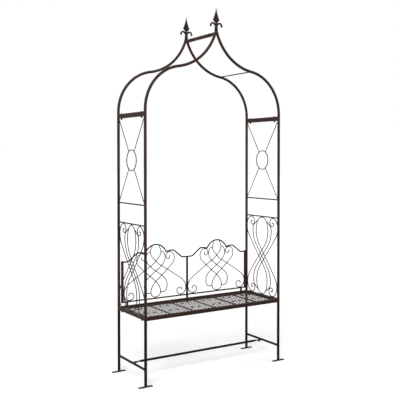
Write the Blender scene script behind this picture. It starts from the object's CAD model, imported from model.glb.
import cmath
import math

import bmesh
import bpy
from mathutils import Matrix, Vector


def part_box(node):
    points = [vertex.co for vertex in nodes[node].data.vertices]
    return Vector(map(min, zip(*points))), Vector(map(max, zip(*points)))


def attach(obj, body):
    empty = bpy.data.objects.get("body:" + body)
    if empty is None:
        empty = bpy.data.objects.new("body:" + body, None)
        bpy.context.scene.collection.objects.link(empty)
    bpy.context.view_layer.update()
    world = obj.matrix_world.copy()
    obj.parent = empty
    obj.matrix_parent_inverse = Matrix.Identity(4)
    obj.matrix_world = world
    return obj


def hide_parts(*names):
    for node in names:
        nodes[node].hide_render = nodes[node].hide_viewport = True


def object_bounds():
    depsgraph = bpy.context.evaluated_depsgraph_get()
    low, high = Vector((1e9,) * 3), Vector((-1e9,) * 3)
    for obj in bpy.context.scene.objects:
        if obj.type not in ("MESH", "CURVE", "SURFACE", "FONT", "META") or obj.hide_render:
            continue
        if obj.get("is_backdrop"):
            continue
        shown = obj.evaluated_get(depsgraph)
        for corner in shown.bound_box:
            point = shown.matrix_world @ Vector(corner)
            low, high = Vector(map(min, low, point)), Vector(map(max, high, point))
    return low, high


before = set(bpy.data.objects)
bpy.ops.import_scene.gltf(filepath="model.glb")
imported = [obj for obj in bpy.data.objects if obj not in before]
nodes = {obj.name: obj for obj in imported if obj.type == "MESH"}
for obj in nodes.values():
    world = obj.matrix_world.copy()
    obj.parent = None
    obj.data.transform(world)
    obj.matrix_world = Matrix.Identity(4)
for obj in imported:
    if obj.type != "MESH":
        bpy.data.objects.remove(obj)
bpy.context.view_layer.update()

# The camera stands at eye height to the left of the bench and looks at its front and
# left side through a moderate telephoto, with the frame raised a little in its view.
CAMERA_PLACE = (-2.581, -4.025, 1.456)
CAMERA_YAW = math.radians(32.61)
CAMERA_PITCH = math.radians(1.25)
LENS_MM = 62.08
LENS_SHIFT = -0.07

camera_data = bpy.data.cameras.new("camera")
camera_data.lens = LENS_MM
camera_data.sensor_width = 36.0
camera_data.shift_y = LENS_SHIFT
camera_data.clip_start = 0.05
camera_data.clip_end = 100.0
camera = bpy.data.objects.new("camera", camera_data)
bpy.context.scene.collection.objects.link(camera)
camera.location = CAMERA_PLACE
camera.rotation_euler = (math.pi / 2 - CAMERA_PITCH, 0.0, -CAMERA_YAW)
bpy.context.scene.camera = camera

# The studio is a white floor that runs on to the horizon under a white sky, with one
# large soft lamp at the left, a weaker one at the right and one behind, all high up.
FLOOR_REACH = 40.0
FLOOR_WHITE = (0.80, 0.80, 0.80, 1.0)
FLOOR_GREY = (0.30, 0.30, 0.30, 1.0)
FLOOR_GLOW_NEAR, FLOOR_GLOW_FAR = 0.26, 0.75
FLOOR_GLOW_FROM, FLOOR_GLOW_TO = 1.5, 7.0
SKY_LIGHT = 0.4
LAMPS = {
    "lamp_left": ((-3.6, -3.2, 4.2), 2.6, 270.0),
    "lamp_right": ((3.8, -2.6, 3.2), 2.4, 70.0),
    "lamp_back": ((0.6, 4.0, 4.4), 2.6, 90.0),
}
LAMP_TARGET = Vector((0.0, 0.0, 1.1))


def put(tree, kind, sockets=None, **settings):
    """Adds a node; each socket gets a value, or a link from the output given for it."""
    node = tree.nodes.new(kind)
    for key, value in settings.items():
        setattr(node, key, value)
    for key, value in (sockets or {}).items():
        if isinstance(value, bpy.types.NodeSocket):
            tree.links.new(value, node.inputs[key])
        else:
            node.inputs[key].default_value = value
    return node


def number(tree, operation, *values):
    """Arithmetic on numbers in a tree."""
    return put(tree, "ShaderNodeMath", dict(enumerate(values)), operation=operation).outputs[0]


def plainly_seen(tree):
    """1 for rays from the camera, mirrored or through glass, and 0 for light that bounces."""
    ray = put(tree, "ShaderNodeLightPath").outputs
    seen = ray["Is Camera Ray"]
    for other in ("Is Glossy Ray", "Is Transmission Ray"):
        seen = number(tree, "MAXIMUM", seen, ray[other])
    return seen


floor_corners = [(x * FLOOR_REACH, y * FLOOR_REACH, 0) for x, y in ((-1, -1), (1, -1), (1, 1), (-1, 1))]
floor_mesh = bpy.data.meshes.new("floor")
floor_mesh.from_pydata(floor_corners, [], [(0, 1, 2, 3)])
floor = bpy.data.objects.new("floor", floor_mesh)
bpy.context.scene.collection.objects.link(floor)
floor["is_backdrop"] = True

floor_material = bpy.data.materials.new("white_floor")
floor_material.use_nodes = True
tree = floor_material.node_tree
tree.nodes.clear()
grey = put(tree, "ShaderNodeBsdfDiffuse", {"Color": FLOOR_GREY})
white = put(tree, "ShaderNodeBsdfDiffuse", {"Color": FLOOR_WHITE})
place = put(tree, "ShaderNodeTexCoord").outputs["Object"]
away = put(tree, "ShaderNodeVectorMath", {0: place}, operation="LENGTH").outputs["Value"]
glow_ends = {
    "From Min": FLOOR_GLOW_FROM, "From Max": FLOOR_GLOW_TO,
    "To Min": FLOOR_GLOW_NEAR, "To Max": FLOOR_GLOW_FAR,
}
brighter = put(tree, "ShaderNodeMapRange", {"Value": away, **glow_ends}, interpolation_type="SMOOTHSTEP")
glow = put(tree, "ShaderNodeEmission", {"Color": (1, 1, 1, 1), "Strength": brighter.outputs[0]})
lifted = put(tree, "ShaderNodeAddShader", {0: white.outputs[0], 1: glow.outputs[0]})
mixed = put(tree, "ShaderNodeMixShader", {0: plainly_seen(tree), 1: grey.outputs[0], 2: lifted.outputs[0]})
put(tree, "ShaderNodeOutputMaterial", {"Surface": mixed.outputs[0]})
floor_mesh.materials.append(floor_material)

for name, (place, size, power) in LAMPS.items():
    lamp_data = bpy.data.lights.new(name, "AREA")
    lamp_data.shape = "SQUARE"
    lamp_data.size = size
    lamp_data.energy = power
    lamp = bpy.data.objects.new(name, lamp_data)
    bpy.context.scene.collection.objects.link(lamp)
    lamp.location = place
    lamp.rotation_mode = "QUATERNION"
    lamp.rotation_quaternion = (LAMP_TARGET - Vector(place)).to_track_quat("-Z", "Y")

world = bpy.data.worlds.new("white_studio")
bpy.context.scene.world = world
world.use_nodes = True
tree = world.node_tree
tree.nodes.clear()
strength = put(tree, "ShaderNodeMapRange", {"Value": plainly_seen(tree), "To Min": SKY_LIGHT, "To Max": 1.0})
sky = put(tree, "ShaderNodeBackground", {"Color": (1, 1, 1, 1), "Strength": strength.outputs[0]})
put(tree, "ShaderNodeOutputWorld", {"Surface": sky.outputs[0]})
bpy.context.scene.view_settings.view_transform = "Standard"

# Posts and arch tubes: round steel tube with a thin wall. The arch tubes are bent on a
# roller and slip over spigots in the posts. All of it is dipped in dark brown enamel,
# which has gone blotchy outdoors, with dust on top and rust near the ground.
POST_COAT = (0.040, 0.0205, 0.0155)
POST_SHADE = (0.0260, 0.0136, 0.0105)
WORN_EDGE = (0.105, 0.074, 0.058)
DUST = (0.20, 0.175, 0.145)
RUST = (0.115, 0.038, 0.014)
MIRROR_SHARE, BLOTCH_DULLS, DIRT_DULLS, SKIN_DEPTH = 0.09, 0.14, 0.35, 0.0004
FLECK_LIFT = 1.7
DAMP_BELOW, DAMP_FADE, DAMP_SHADE = 0.45, 0.06, 0.22


def shader_group(name, inputs, outputs):
    """An empty shader group with named sockets, and its own ends to link to."""
    group = bpy.data.node_groups.new(name, "ShaderNodeTree")
    kinds = {float: "NodeSocketFloat", tuple: "NodeSocketColor"}
    for label, value in inputs.items():
        socket = group.interface.new_socket(label, in_out="INPUT", socket_type=kinds[type(value)])
        socket.default_value = value
    for label, kind in outputs.items():
        group.interface.new_socket(label, in_out="OUTPUT", socket_type=kinds[kind])
    return group, put(group, "NodeGroupInput").outputs, put(group, "NodeGroupOutput").inputs


def scaled(group, value, factor):
    """The value times the factor."""
    return number(group, "MULTIPLY", value, factor)


def scaled_vector(group, start, factor):
    """The vector times the factor; a colour gets brighter or darker."""
    sockets = {0: start, "Scale": factor}
    return put(group, "ShaderNodeVectorMath", sockets, operation="SCALE").outputs[0]


def stretched(group, value, low, high, out_low=0.0, out_high=1.0):
    """The value, with low made out_low and high made out_high."""
    ends = {"Value": value, "From Min": low, "From Max": high, "To Min": out_low, "To Max": out_high}
    return put(group, "ShaderNodeMapRange", ends).outputs[0]


def ground_height(group):
    """Height above the ground: every piece has its place in its mesh."""
    place = put(group, "ShaderNodeTexCoord").outputs["Object"]
    return put(group, "ShaderNodeSeparateXYZ", {0: place}).outputs["Z"]


def cloudy(group, scale, detail, low, high):
    """Noise over the object, with low made 0 and high made 1."""
    place = put(group, "ShaderNodeTexCoord").outputs["Object"]
    cloud = put(group, "ShaderNodeTexNoise", {"Vector": place, "Scale": scale, "Detail": detail})
    return stretched(group, cloud.outputs[0], low, high)


def covered(group, factor, below, above):
    """The colour below, covered by the colour above as far as the factor says."""
    return put(group, "ShaderNodeMix", {0: factor, 6: below, 7: above}, data_type="RGBA").outputs[2]


# Blotches a few centimetres across, flecks of a millimetre, and the skin of the enamel.
# Below the seat it stays damp and dark.
enamel, given, result = shader_group(
    "blotchy_enamel",
    {
        "Coat": (0.5, 0.5, 0.5, 1.0), "Shade": (0.2, 0.2, 0.2, 1.0),
        "Blotches": 30.0, "Grit": 0.4, "Damp Below": DAMP_BELOW,
    },
    {"Color": tuple, "Blotch": float, "Height": float},
)
blotch = cloudy(enamel, given["Blotches"], 4.0, 0.38, 0.64)
fleck = cloudy(enamel, scaled(enamel, given["Blotches"], 17.0), 2.0, 0.5, 0.72)
skin = cloudy(enamel, scaled(enamel, given["Blotches"], 30.0), 2.0, 0.2, 0.8)
gritty = scaled(enamel, fleck, given["Grit"])
pale = scaled_vector(enamel, given["Coat"], FLECK_LIFT)
mottled = covered(enamel, blotch, given["Coat"], given["Shade"])
above_damp = number(enamel, "SUBTRACT", ground_height(enamel), given["Damp Below"])
drier = stretched(enamel, above_damp, -DAMP_FADE, 0.0, DAMP_SHADE, 1.0)
flecked = covered(enamel, gritty, mottled, pale)
enamel.links.new(scaled_vector(enamel, flecked, drier), result["Color"])
enamel.links.new(blotch, result["Blotch"])
enamel.links.new(number(enamel, "ADD", skin, gritty), result["Height"])

# Corners and arrises where the enamel is rubbed thin
edge_wear, given, result = shader_group("edge_wear", {"Width": 0.0012, "Amount": 0.5}, {"Mask": float})
rounded = put(edge_wear, "ShaderNodeBevel", {"Radius": given["Width"]}).outputs[0]
flat = put(edge_wear, "ShaderNodeNewGeometry").outputs["Normal"]
agreed = put(edge_wear, "ShaderNodeVectorMath", {0: rounded, 1: flat}, operation="DOT_PRODUCT")
sharp = stretched(edge_wear, agreed.outputs["Value"], 0.995, 0.86)
patchy = scaled(edge_wear, sharp, cloudy(edge_wear, 90.0, 3.0, 0.38, 0.6))
edge_wear.links.new(scaled(edge_wear, patchy, given["Amount"]), result["Mask"])

# Dust and pollen on whatever faces up
settled_dust, given, result = shader_group("settled_dust", {"Amount": 0.4}, {"Mask": float})
normal = put(settled_dust, "ShaderNodeNewGeometry").outputs["Normal"]
upward = put(settled_dust, "ShaderNodeSeparateXYZ", {0: normal}).outputs["Z"]
lying = scaled(settled_dust, stretched(settled_dust, upward, 0.25, 1.0), given["Amount"])
settled_dust.links.new(
    scaled(settled_dust, lying, cloudy(settled_dust, 55.0, 4.0, 0.3, 0.7)), result["Mask"]
)

# Rust that creeps up from the ground, and in small spots anywhere
creeping_rust, given, result = shader_group(
    "creeping_rust", {"Reach": 0.12, "Amount": 0.5, "Spots": 0.1}, {"Mask": float}
)
near_ground = stretched(creeping_rust, ground_height(creeping_rust), given["Reach"], 0.0)
low_down = scaled(creeping_rust, near_ground, given["Amount"])
eaten = scaled(creeping_rust, low_down, cloudy(creeping_rust, 75.0, 5.0, 0.42, 0.62))
spotted = scaled(creeping_rust, cloudy(creeping_rust, 160.0, 3.0, 0.62, 0.72), given["Spots"])
creeping_rust.links.new(number(creeping_rust, "MAXIMUM", eaten, spotted), result["Mask"])


def coated_steel(name, coat, shade, blotches=30.0, grit=0.4, rough=0.46, relief=0.3,
                 edge=0.0012, worn=0.5, dusty=0.35, reach=0.12, rusty=0.5, spots=0.1):
    """Enamelled steel with its own colours and its own share of each kind of wear."""
    material = bpy.data.materials.new(name)
    material.use_nodes = True
    tree = material.node_tree
    surface = tree.nodes["Principled BSDF"].inputs
    surface["Specular IOR Level"].default_value = MIRROR_SHARE
    colours = {"Coat": (*coat, 1.0), "Shade": (*shade, 1.0), "Blotches": blotches, "Grit": grit}
    coating = put(tree, "ShaderNodeGroup", colours, node_tree=enamel).outputs
    edges = put(tree, "ShaderNodeGroup", {"Width": edge, "Amount": worn}, node_tree=edge_wear).outputs[0]
    dust = put(tree, "ShaderNodeGroup", {"Amount": dusty}, node_tree=settled_dust).outputs[0]
    rust_share = {"Reach": reach, "Amount": rusty, "Spots": spots}
    rust = put(tree, "ShaderNodeGroup", rust_share, node_tree=creeping_rust).outputs[0]
    colour = covered(tree, edges, coating["Color"], (*WORN_EDGE, 1.0))
    colour = covered(tree, dust, colour, (*DUST, 1.0))
    colour = covered(tree, rust, colour, (*RUST, 1.0))
    tree.links.new(colour, surface["Base Color"])
    dull = number(tree, "MAXIMUM", dust, rust)
    blotched = stretched(tree, coating["Blotch"], 0.0, 1.0, rough, rough + BLOTCH_DULLS)
    rougher = number(tree, "MULTIPLY_ADD", dull, DIRT_DULLS, blotched)
    tree.links.new(rougher, surface["Roughness"])
    bumps = {"Height": coating["Height"], "Strength": relief, "Distance": SKIN_DEPTH}
    tree.links.new(put(tree, "ShaderNodeBump", bumps).outputs[0], surface["Normal"])
    return material


def finish(material, *names):
    """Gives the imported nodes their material."""
    for name in names:
        nodes[name].data.materials.clear()
        nodes[name].data.materials.append(material)


post_coat = coated_steel("post_enamel", POST_COAT, POST_SHADE)
finish(
    post_coat,
    "left_front_post", "left_back_post", "right_front_post", "right_back_post",
    "left_front_arch_tube", "left_back_arch_tube", "right_front_arch_tube", "right_back_arch_tube",
    "arch_spigots",
)

# Foot plates: short pieces of flat strap with rounded corners, sheared, punched with a
# peg hole at each end and welded under the posts. They stand in grass and rust a little.
FOOT_LENGTH, FOOT_WIDTH, FOOT_THICKNESS = 0.100, 0.025, 0.003
FOOT_CORNER, FOOT_CORNER_STEPS, FOOT_ARRIS = 0.005, 6, 0.0005
PEG_HOLE_PLACE, PEG_HOLE_RADIUS = 0.038, 0.00425
FOOT_COAT = (0.026, 0.0165, 0.0125)
FOOT_SHADE = (0.011, 0.007, 0.0055)


def new_piece(name, mesh, material=None):
    """Puts a mesh in the scene as a piece of the arbor."""
    piece = bpy.data.objects.new(name, mesh)
    bpy.context.scene.collection.objects.link(piece)
    if material:
        mesh.materials.append(material)
    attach(piece, "root")
    return piece


def circle_points(radius, count, start=0.0):
    """Points round the origin, anticlockwise."""
    turns = [start + 2 * math.pi * i / count for i in range(count)]
    return [(radius * math.cos(t), radius * math.sin(t)) for t in turns]


def plate_mesh(outline, holes, thickness, arris):
    """A flat plate with holes and eased edges, lying on the ground round the origin."""
    drawing = bpy.data.curves.new("plate_drawing", "CURVE")
    drawing.dimensions = "2D"
    drawing.fill_mode = "BOTH"
    drawing.extrude = thickness / 2 - arris
    drawing.bevel_depth = arris
    drawing.bevel_resolution = 2
    drawing.offset = -arris
    for loop in [outline, *holes]:
        spline = drawing.splines.new("POLY")
        spline.points.add(len(loop) - 1)
        for point, (x, y) in zip(spline.points, loop):
            point.co = (x, y, 0.0, 1.0)
        spline.use_cyclic_u = True
    holder = bpy.data.objects.new("plate_drawing", drawing)
    mesh = bpy.data.meshes.new_from_object(holder)
    bpy.data.objects.remove(holder)
    return mesh


corner = FOOT_CORNER
foot_outline = []
for i, (sx, sy) in enumerate([(1, 1), (-1, 1), (-1, -1), (1, -1)]):
    for j in range(FOOT_CORNER_STEPS + 1):
        turn_here = math.pi / 2 * (i + j / FOOT_CORNER_STEPS)
        foot_outline.append((
            sx * (FOOT_LENGTH / 2 - corner) + corner * math.cos(turn_here),
            sy * (FOOT_WIDTH / 2 - corner) + corner * math.sin(turn_here),
        ))
peg_holes = [
    [(s * PEG_HOLE_PLACE + x, y) for x, y in circle_points(PEG_HOLE_RADIUS, 24)] for s in (-1, 1)
]
foot_bm = bmesh.new()
for name in ("left_front", "left_back", "right_front", "right_back"):
    low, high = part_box(name + "_foot")
    one_foot = plate_mesh(foot_outline, peg_holes, FOOT_THICKNESS, FOOT_ARRIS)
    for vertex in one_foot.vertices:
        vertex.co += (low + high) / 2
    foot_bm.from_mesh(one_foot)
bmesh.ops.remove_doubles(foot_bm, verts=foot_bm.verts, dist=1e-6)
bmesh.ops.recalc_face_normals(foot_bm, faces=foot_bm.faces)
foot_mesh = bpy.data.meshes.new("foot_plates")
foot_bm.to_mesh(foot_mesh)
foot_coat = coated_steel(
    "foot_enamel", FOOT_COAT, FOOT_SHADE, blotches=45.0, grit=0.6, rough=0.6, relief=0.6,
    worn=0.7, dusty=0.1, rusty=0.22, spots=0.15,
)
feet = new_piece("foot_plates", foot_mesh, foot_coat)
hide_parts("left_front_foot", "left_back_foot", "right_front_foot", "right_back_foot")

# Bars of the side frames: round rod and square tube, cut between the posts, and the
# shelf that carries the stretcher. Square tube is rubbed along its arrises.
ROD_COAT = (0.0150, 0.0086, 0.0069)
ROD_SHADE = (0.0065, 0.0038, 0.0031)
rod_coat = coated_steel("rod_enamel", ROD_COAT, ROD_SHADE, blotches=38.0)
rail_coat = coated_steel("rail_enamel", POST_COAT, POST_SHADE, blotches=26.0, worn=0.9, dusty=0.5)
for side in ("left_", "right_"):
    finish(rod_coat, side + "lower_crossbar", side + "arm_bar", side + "mid_bar", side + "tie_rod")
    finish(
        rail_coat,
        side + "top_rail", side + "arch_base_rail", side + "ridge_rail",
        side + "seat_bearer", side + "stretcher_bracket",
    )

# Stretcher: a length of round tube whose two ends are pressed flat in a die, drilled
# and bolted on the shelves of the lower crossbars.
STRETCHER_Z, STRETCHER_R = 0.109, 0.008
STRETCHER_END, STRETCHER_FLAT, STRETCHER_ROUND = 0.5278, 0.4945, 0.4640
STRETCHER_PRESSED, STRETCHER_TIP, STRETCHER_TIP_W, STRETCHER_STEPS = 0.002, 0.0012, 0.8, 8


def skin(bm, rings):
    """Closes a skin round rings of points, from one end to the other; a lone point is a tip."""
    made = [[bm.verts.new(point) for point in ring] for ring in rings]
    for below, above in zip(made, made[1:]):
        for i in range(max(len(below), len(above))):
            j = i + 1
            corners = (
                below[i % len(below)], below[j % len(below)],
                above[j % len(above)], above[i % len(above)],
            )
            bm.faces.new(list(dict.fromkeys(corners)))
    for end in (made[0][::-1], made[-1]):
        if len(end) > 2:
            bm.faces.new(end)


def smooth_mesh(name, bm, sharpest=40.0):
    """Finishes a mesh: faces outward, and shaded smooth except over sharp edges."""
    bmesh.ops.recalc_face_normals(bm, faces=bm.faces)
    for face in bm.faces:
        face.smooth = True
    for edge in bm.edges:
        edge.smooth = len(edge.link_faces) == 2 and edge.calc_face_angle() < math.radians(sharpest)
    mesh = bpy.data.meshes.new(name)
    bm.to_mesh(mesh)
    bm.free()
    return mesh


def pressed_ring(x, share):
    """A ring of the tube at x, round where share is 0 and pressed flat where it is 1."""
    ring = []
    for y, z in circle_points(STRETCHER_R, 32):
        pressed = max(-STRETCHER_PRESSED, min(STRETCHER_PRESSED, z * 0.6))
        ring.append((x, y, STRETCHER_Z + z + (pressed - z) * share))
    return ring


half_stretcher = [(STRETCHER_END, 1.0, STRETCHER_TIP_W), (STRETCHER_END - STRETCHER_TIP, 1.0, 1.0)]
for i in range(STRETCHER_STEPS + 1):
    share = i / STRETCHER_STEPS
    x = STRETCHER_FLAT + (STRETCHER_ROUND - STRETCHER_FLAT) * share
    half_stretcher.append((x, 1 - share * share * (3 - 2 * share), 1.0))
stretcher_rings = []
for x, share, width in [(-x, share, width) for x, share, width in half_stretcher] + half_stretcher[::-1]:
    stretcher_rings.append([(px, py * width, pz) for px, py, pz in pressed_ring(x, share)])
stretcher_bm = bmesh.new()
skin(stretcher_bm, stretcher_rings)
stretcher = new_piece("pressed_stretcher", smooth_mesh("pressed_stretcher", stretcher_bm), rod_coat)
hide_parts("stretcher")

# Scrolls of the side frames: mild steel rod bent cold round pins, in two layers that
# touch where they cross. Each curl ends in a small ball. Stations give a point of the
# rod in millimetres and its heading in degrees, and arcs run through them.
MM = 0.001
ROD_HALF, CURL_BALL = 3.0, 4.5
POST_X, POST_Y, POST_R = 536.0, 191.0, 9.5
WELD_GAP, TOUCH = 0.2, 6.2
PANEL_Z, PANEL_HALF_W, PANEL_HALF_H = 729.75, 178.3, 281.55
LOOP_HALF_W, LOOP_LENGTH = 66.0, 98.0
CURL_OFFSET, CURL_DROP, CURL_R = 112.0, 35.0, 24.0
SHOULDER_IN, SHOULDER_DROP = 10.0, 32.0
BRAID_PITCH, BRAID_ANGLE = 45.0, 50.0
ARC_STEP = math.radians(7.0)


def turned_by(heading, chord):
    """The turn of an arc that starts with the heading and ends at the end of the chord."""
    return 2 * cmath.phase(chord / cmath.rect(1, heading))


def meeting_point(a, b):
    """Where the two arcs between two stations meet."""
    p, q = complex(a[0], a[1]), complex(b[0], b[1])
    t0, t1 = cmath.rect(1, math.radians(a[2])), cmath.rect(1, math.radians(b[2]))
    span = q - p
    along = (span.conjugate() * (t0 + t1)).real
    k = 2 * (1 - (t0.conjugate() * t1).real)
    if k < 1e-6:
        d = abs(span) ** 2 / (4 * (span.conjugate() * t1).real)
    else:
        d = (math.sqrt(along * along + k * abs(span) ** 2) - along) / k
    return (p + q + d * (t0 - t1)) / 2


def bent_rod(stations):
    """Points along the arcs of a rod through its stations."""
    points = [complex(stations[0][0], stations[0][1])]
    for a, b in zip(stations, stations[1:]):
        heading = math.radians(a[2])
        for goal in (meeting_point(a, b), complex(b[0], b[1])):
            start, chord = points[-1], goal - points[-1]
            bend = turned_by(heading, chord)
            steps = max(1, math.ceil(abs(bend) / ARC_STEP))
            if abs(bend) > 1e-4:
                centre = start + chord / (1 - cmath.rect(1, bend))
                points += [
                    centre + (start - centre) * cmath.rect(1, bend * i / steps) for i in range(1, steps)
                ]
            points.append(goal)
            heading += bend
    return points


def braid(level, u0, u1):
    """The straight strand that crosses the middle of a panel at a level."""
    rise = math.tan(math.radians(BRAID_ANGLE))
    return [(u, level - u * rise, -BRAID_ANGLE) for u in (u0, u1)]


curl_x, curl_z = -CURL_OFFSET, PANEL_HALF_H - CURL_DROP
loop_side = (LOOP_HALF_W, LOOP_LENGTH - PANEL_HALF_H, -90.0)
loop_end = (0.0, -PANEL_HALF_H, 180.0)
outer_scroll = [
    (curl_x - 4.2, curl_z + 0.7, 150.0),
    (curl_x - 0.8 * CURL_R, curl_z - CURL_R / 3, -90.0),
    (curl_x, curl_z - CURL_R, 0.0),
    (curl_x + CURL_R, curl_z, 90.0),
    (curl_x - SHOULDER_IN, PANEL_HALF_H, 180.0),
    (-PANEL_HALF_W, curl_z - SHOULDER_DROP, -90.0),
    *braid(-BRAID_PITCH, -CURL_OFFSET, 28.0),
    loop_side,
    loop_end,
]
loop_touch = meeting_point(loop_side, loop_end)
lean = turned_by(math.radians(-90.0), loop_touch - complex(loop_side[0], loop_side[1]))
middle_start = -loop_touch + cmath.rect(TOUCH, math.pi + lean)
to_curl = complex(curl_x, curl_z) - middle_start
curl_reach = CURL_R + TOUCH
slant = cmath.phase(to_curl) + math.asin(curl_reach / abs(to_curl)) - 2 * math.pi
tangent_end = middle_start + cmath.rect(math.sqrt(abs(to_curl) ** 2 - curl_reach ** 2), slant)
middle_top = [
    (middle_start.real, middle_start.imag, math.degrees(slant)),
    (tangent_end.real, tangent_end.imag, math.degrees(slant)),
    (tangent_end.real - 12, tangent_end.imag - 36, -90.0),
]
middle_scroll = [
    *middle_top,
    *braid(0.0, -LOOP_HALF_W, LOOP_HALF_W),
    *[(-x, -z, heading) for x, z, heading in middle_top[::-1]],
]
outer_line, middle_line = bent_rod(outer_scroll), bent_rod(middle_scroll)
side_layer = [outer_line, [-point for point in outer_line], middle_line]


def flipped(line):
    """The line mirrored left to right."""
    return [-point.conjugate() for point in line]


def on_side(side, point, layer=0.0):
    """A point of a side panel, at home in the left (-1) or right (1) side frame."""
    return Vector((side * (POST_X + layer), point.real, PANEL_Z + point.imag)) * MM


def scroll_paths(lines, ball_ends, home, side):
    """Paths of a panel's scrolls in both layers, each with a ball at point 0 or -1, or none."""
    paths = []
    for layer, turn_over in ((TOUCH / 2, False), (-TOUCH / 2, True)):
        for bent, ball_end in zip(lines, ball_ends):
            if turn_over:
                bent = flipped(bent)
            path = [[home(side, point, layer), ROD_HALF * MM, 0.0] for point in bent]
            if ball_end is not None:
                path[ball_end][2] = CURL_BALL * MM
            paths.append(path)
    return paths


def path_mesh(name, paths, closed=False):
    """Loose edges along paths of (place, half thickness, radius of the ball there)."""
    places, edges, girths, balls = [], [], [], []
    for path in paths:
        first = len(places)
        for place, girth, ball in path:
            places.append(place)
            girths.append(girth)
            balls.append(ball)
        edges += [(i, i + 1) for i in range(first, len(places) - 1)]
        if closed:
            edges.append((len(places) - 1, first))
    mesh = bpy.data.meshes.new(name)
    mesh.from_pydata(places, edges, [])
    mesh.attributes.new("girth", "FLOAT", "POINT").data.foreach_set("value", girths)
    mesh.attributes.new("ball", "FLOAT", "POINT").data.foreach_set("value", balls)
    return mesh


def shaping_tree(name, inputs):
    """An empty Geometry Nodes tree with its named inputs, and its own ends to link to."""
    tree = bpy.data.node_groups.new(name, "GeometryNodeTree")
    tree.interface.new_socket("Geometry", in_out="INPUT", socket_type="NodeSocketGeometry")
    for label, (kind, value) in inputs.items():
        socket = tree.interface.new_socket(label, in_out="INPUT", socket_type="NodeSocket" + kind)
        if value is not None:
            socket.default_value = value
    tree.interface.new_socket("Geometry", in_out="OUTPUT", socket_type="NodeSocketGeometry")
    return tree, put(tree, "NodeGroupInput").outputs, put(tree, "NodeGroupOutput").inputs


def finish_tree(tree, geometry, coat, result):
    """Ends a tree: smooth shading, real geometry in place of instances, and its material."""
    real = put(tree, "GeometryNodeRealizeInstances", {"Geometry": geometry}).outputs[0]
    coated = put(tree, "GeometryNodeSetMaterial", {"Geometry": real, "Material": coat}).outputs[0]
    tree.links.new(coated, result["Geometry"])


def shaped(name, mesh, tree, values):
    """A piece that the tree makes from a mesh, kept as a plain mesh."""
    holder = bpy.data.objects.new(name, mesh)
    bpy.context.scene.collection.objects.link(holder)
    modifier = holder.modifiers.new(tree.name, "NODES")
    modifier.node_group = tree
    for socket in tree.interface.items_tree:
        if socket.in_out == "INPUT" and socket.name in values:
            modifier[socket.identifier] = values[socket.name]
    graph = bpy.context.evaluated_depsgraph_get()
    made = bpy.data.meshes.new_from_object(holder.evaluated_get(graph), depsgraph=graph)
    bpy.data.objects.remove(holder)
    return new_piece(name, made)


def read_attribute(tree, name, data_type="FLOAT"):
    """A value that the points of a mesh carry."""
    return put(tree, "GeometryNodeInputNamedAttribute", {"Name": name}, data_type=data_type).outputs[0]


def evenly_spaced(tree, mesh, spacing):
    """The paths of a mesh as curves with evenly spaced points."""
    curve = put(tree, "GeometryNodeMeshToCurve", {"Mesh": mesh}).outputs[0]
    spaced = {"Curve": curve, "Length": spacing}
    return put(tree, "GeometryNodeResampleCurve", spaced, mode="LENGTH").outputs[0]


def repeated(tree, shape, places, **turn_and_size):
    """The shape at each of the places."""
    sockets = {"Points": places, "Instance": shape, **turn_and_size}
    return put(tree, "GeometryNodeInstanceOnPoints", sockets).outputs[0]


# Rod of any thickness along any path, with balls where the path asks for them
rod_tree, given, result = shaping_tree(
    "rod_along_path",
    {"Spacing": ("Float", 0.004), "Sides": ("Int", 14), "Coat": ("Material", None)},
)
girth, ball = read_attribute(rod_tree, "girth"), read_attribute(rod_tree, "ball")
line = evenly_spaced(rod_tree, given["Geometry"], given["Spacing"])
section = put(rod_tree, "GeometryNodeCurvePrimitiveCircle", {"Resolution": given["Sides"], "Radius": 1.0})
rods = put(
    rod_tree,
    "GeometryNodeCurveToMesh",
    {"Curve": line, "Profile Curve": section.outputs[0], "Scale": girth, "Fill Caps": True},
).outputs[0]
has_ball = put(rod_tree, "FunctionNodeCompare", {0: ball, 1: 0.0}, operation="GREATER_THAN").outputs[0]
ball_places = put(
    rod_tree, "GeometryNodeMeshToPoints", {"Mesh": given["Geometry"], "Selection": has_ball}
).outputs[0]
one_ball = put(rod_tree, "GeometryNodeMeshUVSphere", {"Segments": 16, "Rings": 10, "Radius": 1.0})
balls = repeated(rod_tree, one_ball.outputs[0], ball_places, Scale=ball)
joined = put(rod_tree, "GeometryNodeJoinGeometry", {"Geometry": rods})
rod_tree.links.new(balls, joined.inputs[0])
smoothed = put(rod_tree, "GeometryNodeSetShadeSmooth", {"Geometry": joined.outputs[0]}).outputs[0]
finish_tree(rod_tree, smoothed, given["Coat"], result)

for side, side_name in ((-1, "left"), (1, "right")):
    for piece_name, lines, ball_ends in (
        ("outer_scrolls", side_layer[:2], (0, 0)), ("middle_scrolls", side_layer[2:], (None,)),
    ):
        paths = scroll_paths(lines, ball_ends, on_side, side)
        name = f"{side_name}_{piece_name}"
        rods_made = shaped(name + "_bent", path_mesh(name, paths), rod_tree, {"Coat": rod_coat})
        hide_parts(name)

# Ring and diagonals of the side windows: a ring of rod butt-welded at the top, held by
# four thinner rods from the corners of the window.
WINDOW_Z, RING_R = 1433.75, 68.0
for side, side_name in ((-1, "left"), (1, "right")):
    loop = [
        (Vector((side * POST_X, y, WINDOW_Z + z)) * MM, ROD_HALF * MM, 0.0)
        for y, z in circle_points(RING_R, 72)
    ]
    ring = shaped(
        side_name + "_ring", path_mesh("ring", [loop], closed=True), rod_tree, {"Coat": rod_coat}
    )
    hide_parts(side_name + "_window_ring")
    finish(rod_coat, side_name + "_window_diagonals")

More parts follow.
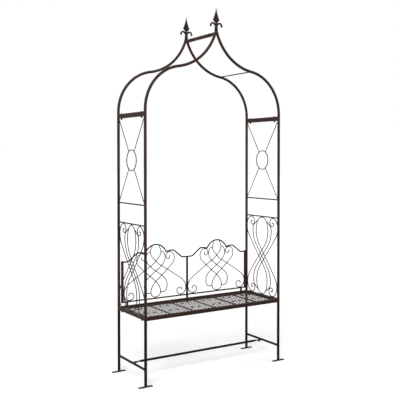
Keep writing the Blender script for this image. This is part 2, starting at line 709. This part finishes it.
# Finials: grey iron castings on the peak, a turned stem with a belt, two drooping arms
# and a spear with a raised rib, left rough from the sand and enamelled like the rest.
CAST_COAT = (0.025, 0.0132, 0.0098)
CAST_SHADE = (0.011, 0.0066, 0.0052)
FINIAL_H, SPEAR_LOW, SPEAR_WIDE = 150.0, 54.0, 76.5
SPEAR_HALF_W, SPEAR_HALF_T, SPEAR_TIP = 26.0, 9.0, 0.6
SPEAR_NECK_SHARE, SPEAR_TIP_SHARE, SPEAR_TAPER, SPEAR_RIPPLE = 0.24, 0.1, 1.5, 0.16
SPEAR_ROWS, ARM_THIN_AT = 30, 0.6
SPEAR_SECTION = [(1.0, 0.0), (0.66, 0.34), (0.24, 0.56), (0.09, 0.92), (0.0, 1.0)]
STEM = [
    (11.2, 0.0), (11.8, 0.8), (11.8, 2.8), (10.8, 3.8), (10.8, 4.6), (11.8, 5.8), (12.0, 9.0),
    (11.8, 13.0), (11.2, 15.0), (10.4, 16.4), (11.2, 18.0), (11.1, 21.0), (10.2, 26.0), (9.4, 31.0),
    (9.4, 36.0), (10.2, 40.0), (10.8, 42.5), (11.0, 46.0), (10.4, 49.0), (8.6, 52.0), (6.8, 55.0),
    (5.8, 58.5),
]
ARM = [(6.5, 36.0, 70.0), (27.3, 52.5, 0.0), (44.0, 34.5, -90.0)]
ARM_ROOT, ARM_NECK, ARM_END, ARM_DROP = 6.8, 5.8, 6.2, 7.4


def spear_share(z):
    """How wide the spear is at a height, as a share of its widest."""
    if z < SPEAR_WIDE:
        swelling = math.sin(math.pi / 2 * (z - SPEAR_LOW) / (SPEAR_WIDE - SPEAR_LOW))
        return SPEAR_NECK_SHARE + (1 - SPEAR_NECK_SHARE) * swelling
    tapering = ((FINIAL_H - z) / (FINIAL_H - SPEAR_WIDE)) ** SPEAR_TAPER
    return SPEAR_TIP_SHARE + (1 - SPEAR_TIP_SHARE) * tapering


def spear_ring(z):
    """A section of the spear: thin blades at both sides of a round rib."""
    share = spear_share(z)
    ripple = 1 + SPEAR_RIPPLE * math.sin(0.5 * z)
    quarter = [(w, t * (ripple if 0 < t < 0.6 else 1.0)) for w, t in SPEAR_SECTION]
    half = quarter + [(-w, t) for w, t in quarter[-2::-1]]
    outline = half + [(w, -t) for w, t in half[-2:0:-1]]
    return [(w * SPEAR_HALF_W * share, t * SPEAR_HALF_T * share, z) for w, t in outline]


spear_rows = [
    SPEAR_LOW + (FINIAL_H - SPEAR_TIP - SPEAR_LOW) * i / SPEAR_ROWS for i in range(SPEAR_ROWS + 1)
]
arm_line = bent_rod(ARM)
cast_coat = coated_steel(
    "cast_enamel", CAST_COAT, CAST_SHADE, blotches=70.0, grit=0.8, rough=0.5, relief=0.8,
    worn=0.9, dusty=0.3, spots=0.2,
)
for name in ("front_finial", "back_finial"):
    low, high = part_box(name)
    foot = Vector(((low.x + high.x) / 2, (low.y + high.y) / 2, low.z))
    casting = bmesh.new()
    skin(casting, [[(x, y, z) for x, y in circle_points(radius, 28)] for radius, z in STEM])
    skin(casting, [*[spear_ring(z) for z in spear_rows], [(0.0, 0.0, FINIAL_H)]])
    for vertex in casting.verts:
        vertex.co = foot + vertex.co * MM
    finial = new_piece(name + "_casting", smooth_mesh(name + "_casting", casting, 55.0), cast_coat)
    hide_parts(name)
    arm_paths = []
    for side in (-1, 1):
        path = []
        for i, point in enumerate(arm_line):
            share = i / (len(arm_line) - 1)
            if share < ARM_THIN_AT:
                girth_here = ARM_ROOT + (ARM_NECK - ARM_ROOT) * share / ARM_THIN_AT
            else:
                girth_here = ARM_NECK + (ARM_END - ARM_NECK) * (share - ARM_THIN_AT) / (1 - ARM_THIN_AT)
            drop = ARM_DROP if share == 1 else 0.0
            place = foot + Vector((side * point.real, 0.0, point.imag)) * MM
            path.append((place, girth_here * MM, drop * MM))
        arm_paths.append(path)
    shaped(
        name + "_arms", path_mesh(name + "_arms", arm_paths), rod_tree,
        {"Coat": cast_coat, "Spacing": 0.002, "Sides": 18},
    )

# Seat frame: rectangular tube round the seat, its corner welds ground flush, with round
# bars from front to back. Clothes have polished it a little.
seat_coat = coated_steel("seat_enamel", POST_COAT, POST_SHADE, rough=0.4, worn=1.0, dusty=0.15, spots=0.15)
finish(seat_coat, "seat_front_rail", "seat_back_rail", "seat_left_rail", "seat_right_rail")
finish(rod_coat, "seat_cross_bars")

# Seat mesh: sheet steel slit and pulled open into diamonds. Each strand zigzags from
# side to side and meets its neighbours at the knuckles. It lies under the cross bars.
MESH_HALF_STEPS, MESH_ROWS, MESH_SWING = 74, 25, 0.46
STRAND_WIDTH, STRAND_THICKNESS, STRAND_LIFT = 0.0050, 0.0014, 0.0005
MESH_COAT = (0.074, 0.040, 0.033)
MESH_SHADE = (0.020, 0.0110, 0.0088)
mesh_tree, given, result = shaping_tree(
    "expanded_sheet",
    {
        "Half Steps": ("Int", MESH_HALF_STEPS), "Rows": ("Int", MESH_ROWS),
        "Step": ("Float", 0.014), "Row Step": ("Float", 0.014), "Width": ("Float", STRAND_WIDTH),
        "Thickness": ("Float", STRAND_THICKNESS), "Lift": ("Float", STRAND_LIFT),
        "Coat": ("Material", None),
    },
)


def vector(tree, **parts):
    """A vector from its parts in a tree."""
    return put(tree, "ShaderNodeCombineXYZ", parts).outputs[0]


def points_in_line(tree, count, axis, start, step):
    """Points along the X or Y axis, one step apart."""
    first, offset = vector(tree, **{axis: start}), vector(tree, **{axis: step})
    return put(
        tree, "GeometryNodeMeshLine", {"Count": count, "Start Location": first, "Offset": offset}
    ).outputs[0]


index = put(mesh_tree, "GeometryNodeInputIndex").outputs[0]
odd = number(mesh_tree, "MODULO", index, 2.0)
to_and_fro = number(mesh_tree, "MULTIPLY_ADD", odd, 2.0, -1.0)
points_in_row = number(mesh_tree, "ADD", given["Half Steps"], 1.0)
row_start = scaled(mesh_tree, scaled(mesh_tree, given["Half Steps"], given["Step"]), -0.5)
row = points_in_line(mesh_tree, points_in_row, "X", row_start, given["Step"])
swing = scaled(mesh_tree, to_and_fro, scaled(mesh_tree, given["Row Step"], MESH_SWING))
lift = scaled(mesh_tree, to_and_fro, given["Lift"])
row = put(
    mesh_tree, "GeometryNodeSetPosition", {"Geometry": row, "Offset": vector(mesh_tree, Y=swing, Z=lift)}
).outputs[0]
row = put(mesh_tree, "GeometryNodeMeshToCurve", {"Mesh": row}).outputs[0]
strip = put(
    mesh_tree, "GeometryNodeCurvePrimitiveQuadrilateral",
    {"Width": given["Width"], "Height": given["Thickness"]},
).outputs[0]
strand = put(
    mesh_tree, "GeometryNodeCurveToMesh", {"Curve": row, "Profile Curve": strip, "Fill Caps": True}
).outputs[0]
depth = scaled(mesh_tree, number(mesh_tree, "SUBTRACT", given["Rows"], 1.0), given["Row Step"])
row_places = points_in_line(
    mesh_tree, given["Rows"], "Y", scaled(mesh_tree, depth, -0.5), given["Row Step"]
)
half_turn = vector(mesh_tree, Z=scaled(mesh_tree, odd, math.pi))
finish_tree(mesh_tree, repeated(mesh_tree, strand, row_places, Rotation=half_turn), given["Coat"], result)

mesh_coat = coated_steel(
    "mesh_enamel", MESH_COAT, MESH_SHADE, blotches=50.0, grit=0.5,
    edge=0.0005, worn=0.6, dusty=0.3, spots=0.3,
)
low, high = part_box("seat_mesh")
sheet = shaped(
    "expanded_seat_sheet", bpy.data.meshes.new("sheet"), mesh_tree,
    {
        "Half Steps": MESH_HALF_STEPS,
        "Rows": MESH_ROWS,
        "Step": (high.x - low.x) / MESH_HALF_STEPS,
        "Row Step": (high.y - low.y - STRAND_WIDTH) / (MESH_ROWS - 0.08),
        "Width": STRAND_WIDTH,
        "Thickness": STRAND_THICKNESS,
        "Lift": STRAND_LIFT,
        "Coat": mesh_coat,
    },
)
for vertex in sheet.data.vertices:
    vertex.co += (low + high) / 2
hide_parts("seat_mesh")

# Studs on the mesh: rosettes pressed from sheet steel with a dished rim, four in each
# bay of the seat, welded to the mesh. Their enamel is nearly black.
STUD_COAT = (0.0075, 0.0046, 0.0039)
STUD_SHADE = (0.0040, 0.0025, 0.0022)
STUD_PROFILE = [
    (13.0, 0.0), (13.0, 0.5), (12.5, 1.0), (11.4, 1.15), (10.2, 0.7), (8.8, 0.75),
    (7.0, 1.35), (4.0, 1.85), (0.0, 2.0),
]
SEAT_INNER_X, SEAT_MID_Y, STUD_FOOT_Z = 518.5, -4.75, 437.2
SEAT_BAYS, STUD_GAP, STUD_ROW_GAP = 6, 54.0, 132.0

fastener_tree, given, result = shaping_tree(
    "pressed_or_screwed",
    {"Fastener": ("Object", None), "Seed": ("Int", 1), "Coat": ("Material", None)},
)
axis = read_attribute(fastener_tree, "axis", "FLOAT_VECTOR")
upright = put(fastener_tree, "FunctionNodeAlignRotationToVector", {"Vector": axis}, axis="Z").outputs[0]
chance = put(
    fastener_tree, "FunctionNodeRandomValue",
    {"Seed": given["Seed"], 2: 0.0, 3: 2 * math.pi}, data_type="FLOAT",
).outputs[1]
spun = put(fastener_tree, "FunctionNodeAxisAngleToRotation", {"Axis": (0, 0, 1), "Angle": chance}).outputs[0]
turned = put(
    fastener_tree, "FunctionNodeRotateRotation",
    {"Rotation": upright, "Rotate By": spun}, rotation_space="LOCAL",
).outputs[0]
template = put(fastener_tree, "GeometryNodeObjectInfo", {"Object": given["Fastener"]}).outputs["Geometry"]
fitted = repeated(fastener_tree, template, given["Geometry"], Rotation=turned)
finish_tree(fastener_tree, fitted, given["Coat"], result)


def fasteners(name, rings, places, coat, seed):
    """The same small part at every (place, axis), made once from its rings of points."""
    bm = bmesh.new()
    skin(bm, [[Vector(point) * MM for point in ring] for ring in rings])
    pattern = bpy.data.objects.new(name + "_pattern", smooth_mesh(name + "_pattern", bm, 35.0))
    points = bpy.data.meshes.new(name)
    points.from_pydata([Vector(place) * MM for place, axis in places], [], [])
    axes = points.attributes.new("axis", "FLOAT_VECTOR", "POINT")
    axes.data.foreach_set("vector", [part for place, axis in places for part in axis])
    made = shaped(name, points, fastener_tree, {"Fastener": pattern, "Seed": seed, "Coat": coat})
    bpy.data.objects.remove(pattern)
    return made


def turned_rings(profile, sides):
    """Rings of a turned part from its (radius, height) profile, from the bottom up."""
    return [
        [(x, y, z) for x, y in circle_points(radius, sides)] if radius else [(0.0, 0.0, z)]
        for radius, z in profile
    ]


bay = 2 * SEAT_INNER_X / SEAT_BAYS
stud_places = []
for i in range(SEAT_BAYS):
    for sx in (-1, 1):
        x = -SEAT_INNER_X + (i + 0.5) * bay + sx * STUD_GAP / 2
        stud_places += [((x, SEAT_MID_Y + sy * STUD_ROW_GAP / 2, STUD_FOOT_Z), (0, 0, 1)) for sy in (-1, 1)]
stud_coat = coated_steel(
    "stud_enamel", STUD_COAT, STUD_SHADE, blotches=110.0, rough=0.55,
    edge=0.0005, worn=0.25, dusty=0.03, spots=0.1,
)
studs = fasteners("pressed_studs", turned_rings(STUD_PROFILE, 24), stud_places, stud_coat, 3)
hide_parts("seat_studs")

# Backrest: a wave of rod for its top rail, a straight bottom rail, flat stiles and bent
# scrolls in two layers. Three studs and spacers hold it above the back seat rail.
BACK_Y, BACK_RAIL_HALF = 181.5, 5.0
HALF_PANEL_X, HALF_PANEL_W = 256.25, 247.05
BACK_BASE_Z, BACK_HIGH_Z = 478.2, 743.0
BACK_BRAID_Z = (BACK_BASE_Z + BACK_HIGH_Z) / 2
HUMP_RISE, HUMP_HALF_W, CUSP_RISE, CUSP_HEADING = 103.0, 85.0, 47.0, 62.0
CROWN_START, CROWN_SHARE = math.radians(109.0), 0.48

hump_start = (HALF_PANEL_X - HUMP_HALF_W, CUSP_RISE, CUSP_HEADING)
hump_top = (HALF_PANEL_X, HUMP_RISE, 0.0)
to_join = meeting_point(hump_start, hump_top) - complex(hump_top[0], hump_top[1])
crown_r = abs(to_join) / 2 / math.sin(turned_by(math.pi, to_join) / 2)
crown_reach = crown_r - BACK_RAIL_HALF - WELD_GAP - CROWN_SHARE * ROD_HALF
crown_start = cmath.rect(crown_reach, CROWN_START) - 1j * crown_r
corner_scroll = [
    (crown_start.real, BACK_HIGH_Z + HUMP_RISE + crown_start.imag, -110.0),
    (-40.0, BACK_HIGH_Z + HUMP_RISE - 51, -90.0),
    (0.0, BACK_BRAID_Z + 120, -47.0),
    (95.0, BACK_BRAID_Z + 55, -34.0),
    (200.0, BACK_BRAID_Z - 13, -34.0),
    (HALF_PANEL_W, BACK_BASE_Z + 50, -90.0),
    (HALF_PANEL_W - 40, BACK_BASE_Z, 180.0),
    (HALF_PANEL_W - 74, BACK_BASE_Z + 24, 90.0),
    (HALF_PANEL_W - 54, BACK_BASE_Z + 49, 0.0),
    (HALF_PANEL_W - 36, BACK_BASE_Z + 36, -100.0),
]
inner_scroll = [
    (corner_scroll[1][0] - TOUCH + ROD_HALF, corner_scroll[1][1], 180.0),
    (-73.0, BACK_HIGH_Z + 10, -90.0),
    (-45.0, BACK_BRAID_Z + 86, -43.0),
    (47.0, BACK_BRAID_Z + 18, -38.0),
    (93.0, BACK_BASE_Z + 82, -90.0),
    (63.0, BACK_BASE_Z + 32, 180.0),
    (40 + TOUCH - ROD_HALF, BACK_BASE_Z + 32, 180.0),
]
ear_scroll = [
    (-111.0, BACK_HIGH_Z + 16, -100.0),
    (-99.0, BACK_HIGH_Z - 3, 0.0),
    (-80.0, BACK_HIGH_Z + 16, 90.0),
    (-111.0, BACK_HIGH_Z + 44.8, 180.0),
    (-148.0, BACK_HIGH_Z + 2, -90.0),
    (-92.0, BACK_BRAID_Z + 57, -43.0),
    (-2.0, BACK_BRAID_Z - 19, -43.0),
    (40.0, BACK_BASE_Z + 36, -90.0),
    (0.0, BACK_BASE_Z, 180.0),
]
back_layer = [bent_rod(stations) for stations in (corner_scroll, inner_scroll, ear_scroll)]
back_ball_ends = (-1, None, 0)


def on_back(side, point, layer=0.0):
    """A point of half a backrest, at home in its left (-1) or right (1) half."""
    return Vector((side * (HALF_PANEL_X + point.real), BACK_Y - layer, point.imag)) * MM


for side, side_name in ((-1, "left"), (1, "right")):
    paths = scroll_paths(back_layer, back_ball_ends, on_back, side)
    name = f"backrest_{side_name}_scrolls"
    rods_made = shaped(name + "_bent", path_mesh(name, paths), rod_tree, {"Coat": rod_coat})
    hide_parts(name)
finish(rod_coat, "backrest_top_rail", "backrest_bottom_rail", "backrest_spacers")
finish(rail_coat, "backrest_left_stile", "backrest_right_stile", "backrest_centre_stile")

# Bolts and nuts: painted steel. The bolts have domed heads on a thin collar, and each
# is drawn up with a cap nut on a broad washer, so that no thread catches on clothes.
BOLT_COAT = (0.010, 0.006, 0.0048)
BOLT_SHADE = (0.010, 0.0068, 0.0055)
HEAD_PROFILE = [
    (6.2, 0.0), (6.5, 0.3), (6.5, 0.9), (5.9, 1.2), (5.6, 1.6), (4.8, 2.6),
    (3.4, 3.5), (1.7, 3.9), (0.0, 4.0),
]
NUT_HALF_W, NUT_CORNER_R, NUT_CHAMFER, NUT_LOW, NUT_HIGH = 5.0, 6.0, 0.5, 1.2, 6.2
WASHER_PROFILE = [(7.6, 0.0), (8.0, 0.3), (8.0, 0.9), (7.6, 1.2)]
CAP_PROFILE = [(4.9, 6.3), (4.9, 7.4), (4.5, 8.8), (3.6, 9.9), (2.2, 10.7), (0.9, 10.95), (0.0, 11.0)]
RAIL_BOLT_Y, RIDGE_BOLT_Y, STRETCHER_BOLT_X, BACK_STUD_X = 143.0, 110.0, 511.0, 478.0
BOLTED_RAILS = (("right_arch_base_rail", "right_top_rail"), ("seat_right_rail", "right_seat_bearer"))
bolt_coat = coated_steel("bolt_paint", BOLT_COAT, BOLT_SHADE, blotches=120.0, rough=0.38, worn=1.0, spots=0.6)


def heights(name):
    """How low and how high a packed bar reaches, to a tenth because of its facets."""
    low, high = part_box(name)
    return round(low.z / MM, 1), round(high.z / MM, 1)


pressed_top_z = (STRETCHER_Z + STRETCHER_PRESSED) / MM
ridge_low, ridge_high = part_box("right_ridge_rail")
ridge_z = (ridge_low.z + ridge_high.z) / 2 / MM
shelf_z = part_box("right_stretcher_bracket")[0].z / MM
head_places, nut_places = [], []
for x in (-POST_X, POST_X):
    for y in (-RAIL_BOLT_Y, RAIL_BOLT_Y):
        for upper, lower in BOLTED_RAILS:
            head_places.append(((x, y, heights(upper)[1]), (0, 0, 1)))
            nut_places.append(((x, y, heights(lower)[0]), (0, 0, -1)))
for side in (-1, 1):
    head_places.append(((side * STRETCHER_BOLT_X, 0.0, pressed_top_z), (0, 0, 1)))
    nut_places.append(((side * STRETCHER_BOLT_X, 0.0, shelf_z), (0, 0, -1)))
    head_places.append(((ridge_high.x / MM, side * RIDGE_BOLT_Y, ridge_z), (1, 0, 0)))
    nut_places.append(((-ridge_high.x / MM, side * RIDGE_BOLT_Y, ridge_z), (-1, 0, 0)))
for x in (-BACK_STUD_X, 0.0, BACK_STUD_X):
    nut_places.append(((x, BACK_Y, heights("seat_back_rail")[0]), (0, 0, -1)))


def nut_ring(widest, z):
    """A ring of a hexagon, cut back to a circle where that is narrower."""
    ring = []
    for x, y in circle_points(1.0, 24):
        off_flat = (math.atan2(y, x) + math.pi / 6) % (math.pi / 3) - math.pi / 6
        reach = min(NUT_HALF_W / math.cos(math.pi / 6 - abs(off_flat)), widest)
        ring.append((x * reach, y * reach, z))
    return ring


nut_rings = turned_rings(WASHER_PROFILE, 24)
nut_rings += [
    nut_ring(NUT_HALF_W, NUT_LOW), nut_ring(NUT_CORNER_R, NUT_LOW + NUT_CHAMFER),
    nut_ring(NUT_CORNER_R, NUT_HIGH - NUT_CHAMFER), nut_ring(NUT_HALF_W, NUT_HIGH),
]
nut_rings += turned_rings(CAP_PROFILE, 24)
heads = fasteners("bolt_heads", turned_rings(HEAD_PROFILE, 24), head_places, bolt_coat, 5)
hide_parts("rail_bolts", "short_bolts")
nuts = fasteners("cap_nuts", nut_rings, nut_places, bolt_coat, 7)
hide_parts("nuts")

# Welds: beads of overlapping dabs where bars end on posts and rails, and a dab where
# scrolls cross or touch a bar. They are painted over and rust sooner than the rest.
BEAD_HALF, SMALL_BEAD_HALF, DAB_HALF, SMALL_DAB_HALF = 2.0, 1.6, 3.0, 2.4
CROSSING_SPREAD, TOUCH_SPREAD = 1.6, 2.0
ROUND_BARS = ("right_lower_crossbar", "right_arm_bar", "right_mid_bar")
SQUARE_BARS = ("right_top_rail", "right_arch_base_rail", "right_seat_bearer")
SEAM_OFF, FOOT_SEAM_OFF, FOOT_SEAM_Z = 0.3, 0.4, 3.4
SQUARE_BAR_W, TIE_ROD_HALF, CROSS_BAR_HALF = 15.0, 4.0, 4.0
weld_coat = coated_steel(
    "weld_enamel", ROD_COAT, ROD_SHADE, blotches=90.0, grit=0.7, relief=0.6, worn=0.6,
    reach=0.1, rusty=0.8, spots=0.7,
)
weld_tree, given, result = shaping_tree(
    "weld_bead",
    {
        "Pitch": ("Float", 0.0018), "Flatness": ("Float", 0.7), "Unevenness": ("Float", 0.16),
        "Seed": ("Int", 11), "Coat": ("Material", None),
    },
)
girth = read_attribute(weld_tree, "girth")
line = evenly_spaced(weld_tree, given["Geometry"], given["Pitch"])
tangent = put(weld_tree, "GeometryNodeInputTangent").outputs[0]
leaning = put(weld_tree, "FunctionNodeAlignRotationToVector", {"Vector": tangent}, axis="Z").outputs[0]
least = number(weld_tree, "SUBTRACT", 1.0, given["Unevenness"])
most = number(weld_tree, "ADD", 1.0, given["Unevenness"])
chance = put(
    weld_tree, "FunctionNodeRandomValue", {"Seed": given["Seed"], 2: least, 3: most}, data_type="FLOAT"
).outputs[1]
flattened = vector(weld_tree, X=1.0, Y=1.0, Z=given["Flatness"])
size = scaled_vector(weld_tree, flattened, scaled(weld_tree, girth, chance))
dab = put(weld_tree, "GeometryNodeMeshUVSphere", {"Segments": 8, "Rings": 5, "Radius": 1.0}).outputs[0]
beads = repeated(weld_tree, dab, line, Rotation=leaning, Scale=size)
smoothed = put(weld_tree, "GeometryNodeSetShadeSmooth", {"Geometry": beads}).outputs[0]
finish_tree(weld_tree, smoothed, given["Coat"], result)


def bead(points, half=BEAD_HALF):
    """The path of a seam through points in millimetres."""
    return [(Vector(point) * MM, half * MM, 0.0) for point in points]


def saddle(x, y, z, toward, outline):
    """The seam of a bar that ends on an upright tube at x, y. Its outline is (across, up)."""
    return bead([
        (x + across, y + toward * math.sqrt(max(POST_R ** 2 - across ** 2, 0.0)), z + up)
        for across, up in outline
    ])


def box_outline(width, height):
    """Points round a rectangle, close enough to follow a tube's surface."""
    corners = [(-1, -1), (1, -1), (1, 1), (-1, 1), (-1, -1)]
    points = []
    for (ax, az), (bx, bz) in zip(corners, corners[1:]):
        points += [
            ((ax + (bx - ax) * i / 6) * width / 2, (az + (bz - az) * i / 6) * height / 2) for i in range(6)
        ]
    return points


seams = []
for x in (-POST_X, POST_X):
    for y in (-POST_Y, POST_Y):
        toward = -1 if y > 0 else 1
        for name in ROUND_BARS:
            low_z, high_z = heights(name)
            outline = circle_points((high_z - low_z) / 2 + SEAM_OFF, 28)
            seams.append(saddle(x, y, (low_z + high_z) / 2, toward, outline))
        for name in SQUARE_BARS:
            low_z, high_z = heights(name)
            outline = box_outline(SQUARE_BAR_W, high_z - low_z)
            seams.append(saddle(x, y, (low_z + high_z) / 2, toward, outline))
        foot_circle = circle_points(POST_R + FOOT_SEAM_OFF, 36)
        seams.append(bead([(x + px, y + py, FOOT_SEAM_Z) for px, py in foot_circle]))
tie_low, tie_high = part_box("right_tie_rod")
tie_place = (tie_low + tie_high) / 2 / MM
bar_low, bar_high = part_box("seat_cross_bars")
bar_z = sum(heights("seat_cross_bars")) / 2
ends = [
    (side * tie_place.x, tie_place.z, TIE_ROD_HALF + SEAM_OFF, tie_low.y / MM, tie_high.y / MM)
    for side in (-1, 1)
]
ends += [
    (-SEAT_INNER_X + i * bay, bar_z, CROSS_BAR_HALF, bar_low.y / MM, bar_high.y / MM)
    for i in range(1, SEAT_BAYS)
]
for x, z, half, front, back in ends:
    for y in (front, back):
        seams.append(bead([(x + px, y, z + pz) for px, pz in circle_points(half, 20)], SMALL_BEAD_HALF))


def crossings(first, second):
    """Where two bent lines cross, each with the direction midway between them."""
    found = []
    for a, b in zip(first, first[1:]):
        for c, d in zip(second, second[1:]):
            across = ((b - a).conjugate() * (d - c)).imag
            if across:
                s = ((c - a).conjugate() * (d - c)).imag / across
                t = ((c - a).conjugate() * (b - a)).imag / across
                if 0 <= s < 1 and 0 <= t < 1:
                    middle = (b - a) / abs(b - a) + (d - c) / abs(d - c)
                    found.append((a + s * (b - a), middle / abs(middle)))
    return found


def dab_at(home, side, point, spread, half):
    """The path of a dab on a panel: two grains, spread to both sides of the point."""
    return [(home(side, point + s * spread), half * MM, 0.0) for s in (-1, 1)]


dabs = []
for layer, home in ((side_layer, on_side), (back_layer, on_back)):
    for one in layer:
        for other in layer:
            for point, middle in crossings(one, flipped(other)):
                for side in (-1, 1):
                    dabs.append(dab_at(home, side, point, CROSSING_SPREAD * middle, DAB_HALF))
for side in (-1, 1):
    for quarter in (-1, 1):
        for over in (-1, 1):
            touching = (
                (complex(PANEL_HALF_W + ROD_HALF, curl_z - SHOULDER_DROP), TOUCH_SPREAD * 1j),
                (complex(CURL_OFFSET + SHOULDER_IN, PANEL_HALF_H + ROD_HALF), TOUCH_SPREAD),
                (complex(TOUCH_SPREAD, PANEL_HALF_H + ROD_HALF), TOUCH_SPREAD),
            )
            for point, spread in touching:
                point = complex(quarter * point.real, over * point.imag)
                dabs.append(dab_at(on_side, side, point, spread, SMALL_DAB_HALF))
for side in (-1, 1):
    for quarter in (-1, 1):
        for stations in (corner_scroll, ear_scroll):
            for x, z, heading in stations:
                if z == BACK_BASE_Z:
                    point, spread = complex(x, z - ROD_HALF - WELD_GAP), TOUCH_SPREAD
                elif x == HALF_PANEL_W:
                    point, spread = complex(x + ROD_HALF + WELD_GAP, z), TOUCH_SPREAD * 1j
                else:
                    continue
                point = complex(quarter * point.real, point.imag)
                dabs.append(dab_at(on_back, side, point, spread, SMALL_DAB_HALF))
shaped(
    "weld_seams", path_mesh("seams", seams, closed=True), weld_tree, {"Coat": weld_coat, "Seed": 11}
)
shaped("weld_dabs", path_mesh("dabs", dabs), weld_tree, {"Coat": weld_coat, "Seed": 23})

low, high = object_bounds()
